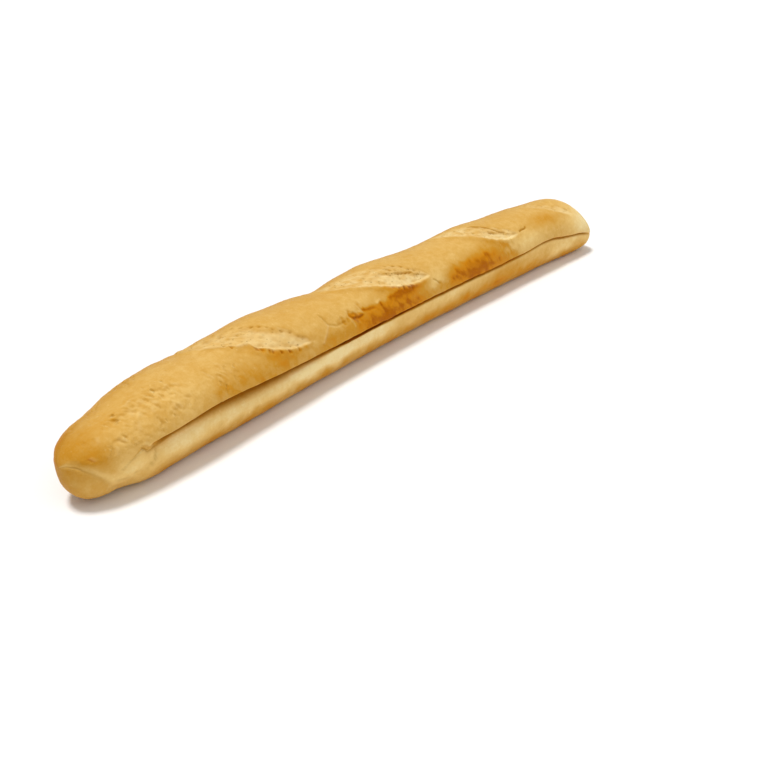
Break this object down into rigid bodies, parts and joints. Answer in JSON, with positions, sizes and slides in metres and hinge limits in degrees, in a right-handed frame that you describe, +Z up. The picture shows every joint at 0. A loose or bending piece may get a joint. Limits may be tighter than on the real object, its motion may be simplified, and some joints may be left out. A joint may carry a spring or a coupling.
{
  "type": "baguette",
  "caption": "Long white baguette with slanting slashes over a domed crust, a deep fold along each side above a paler lower roll, a blunt nose and a flat sole.",
  "frame": {"origin": "middle of the bounding box's bottom, on the plane that the flat sole rests on", "axes": "+X along the loaf from its blunt nose to its pale tip, +Y to the side that the slashes start on, +Z up"},
  "size_m": [0.563, 0.0692, 0.0578],
  "materials": {
    "crust": "baked wheat crust, satin golden brown, paler and drier in the slashes and on the lower roll"
  },
  "bodies": {
    "root": {"loaf": "crust"}
  },
  "joints": []
}
